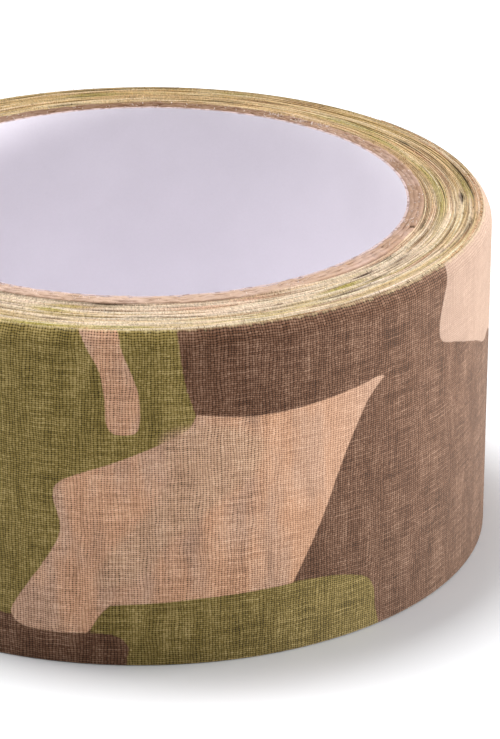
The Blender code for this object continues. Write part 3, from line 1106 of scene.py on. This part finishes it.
def build_torn_fibres(paper):
    """Torn fibres on the core's top edge."""
    rng = np.random.default_rng(SEED + 2)
    inner = node_radii("core_ply_inner")[0]
    angles = [rng.uniform(-180.0, 180.0, FIBRES)]
    angles += [rng.normal(centre, spread, CLUSTER_FIBRES) for centre, spread in FIBRE_CLUSTERS]
    angles = np.radians(np.concatenate(angles))
    count = len(angles)
    radii = rng.uniform(inner, BOARD_RADIUS, count)
    heights = np.full(count, BOARD_TOP - FIBRE_ROOT)
    leans = rng.uniform(*FIBRE_LEANS, count)
    lengths = rng.uniform(*FIBRE_LENGTHS, count) * MM
    widths = rng.uniform(*FIBRE_WIDTHS, count) * MM
    torn = strands("torn_fibres", angles, radii, heights, leans, FIBRE_RISE, lengths, widths, rng)
    torn.data.materials.append(paper)
    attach(torn, "roll")


# ---- floor, light and camera

CAMERA_DISTANCE = 0.5519
CAMERA_ELEVATION = math.radians(23.294)
CAMERA_PITCH = math.radians(23.514)
CAMERA_YAW = math.radians(-1.772)
CAMERA_ROLL = math.radians(0.190)
CAMERA_LENS = 180.55
SENSOR = 36.0
SKY_STRENGTH = 0.52
FLOOR_SIZE = 8.0
FLOOR_GAP = 0.05 * MM
LAMP_DISTANCE = 1.0
SIDE_LAMP = {"azimuth": 5.0, "elevation": 4.5, "width": 0.6, "height": 0.18, "power": 13.5}
TOP_LAMP = {"azimuth": 140.0, "elevation": 76.0, "width": 0.36, "height": 0.36, "power": 10.5}


def build_camera():
    """A long lens from the front, a little above, turned so that the roll runs out of view on the left."""
    data = bpy.data.cameras.new("camera")
    data.lens = CAMERA_LENS
    data.sensor_width = SENSOR
    data.clip_start = 0.01
    data.clip_end = 50.0
    camera = bpy.data.objects.new("camera", data)
    bpy.context.scene.collection.objects.link(camera)
    place = Vector((0.0, -math.cos(CAMERA_ELEVATION), math.sin(CAMERA_ELEVATION))) * CAMERA_DISTANCE
    place.z += 0.5 * TAPE_WIDTH
    turn = (
        Matrix.Rotation(CAMERA_YAW, 4, "Z")
        @ Matrix.Rotation(math.radians(90.0) - CAMERA_PITCH, 4, "X")
        @ Matrix.Rotation(CAMERA_ROLL, 4, "Z")
    )
    camera.matrix_world = Matrix.Translation(place) @ turn
    bpy.context.scene.camera = camera


def soft_lamp(name, azimuth, elevation, width, height, power):
    """A rectangular soft light that faces the middle of the roll."""
    data = bpy.data.lights.new(name, "AREA")
    data.shape = "RECTANGLE"
    data.size = width
    data.size_y = height
    data.energy = power
    light = bpy.data.objects.new(name, data)
    bpy.context.scene.collection.objects.link(light)
    azimuth = math.radians(azimuth)
    elevation = math.radians(elevation)
    flat = math.cos(elevation)
    direction = Vector((flat * math.cos(azimuth), flat * math.sin(azimuth), math.sin(elevation)))
    aim = Vector((0.0, 0.0, 0.5 * TAPE_WIDTH))
    light.location = aim + LAMP_DISTANCE * direction
    light.rotation_euler = (aim - light.location).to_track_quat("-Z", "Y").to_euler()


def build_studio():
    """A white floor under an even white sky, one soft lamp overhead and one low on the right."""
    bpy.ops.mesh.primitive_plane_add(size=FLOOR_SIZE, location=(0.0, 0.0, -FLOOR_GAP))
    floor = bpy.context.object
    floor.name = "studio_floor"
    floor.data.materials.append(floor_material())
    world = bpy.data.worlds.new("studio")
    world.use_nodes = True
    background = world.node_tree.nodes["Background"]
    background.inputs["Color"].default_value = (1.0, 1.0, 1.0, 1.0)
    background.inputs["Strength"].default_value = SKY_STRENGTH
    bpy.context.scene.world = world
    soft_lamp("side_softbox", **SIDE_LAMP)
    soft_lamp("top_softbox", **TOP_LAMP)
    bpy.context.scene.view_settings.view_transform = "Standard"


# ---- build everything

build_camera()
build_studio()
build_core(board_material(), liner_material())
cloth = cloth_material()
cut_threads = build_cut_threads(cotton_material())
build_strip(cloth)
build_torn_fibres(shred_material())
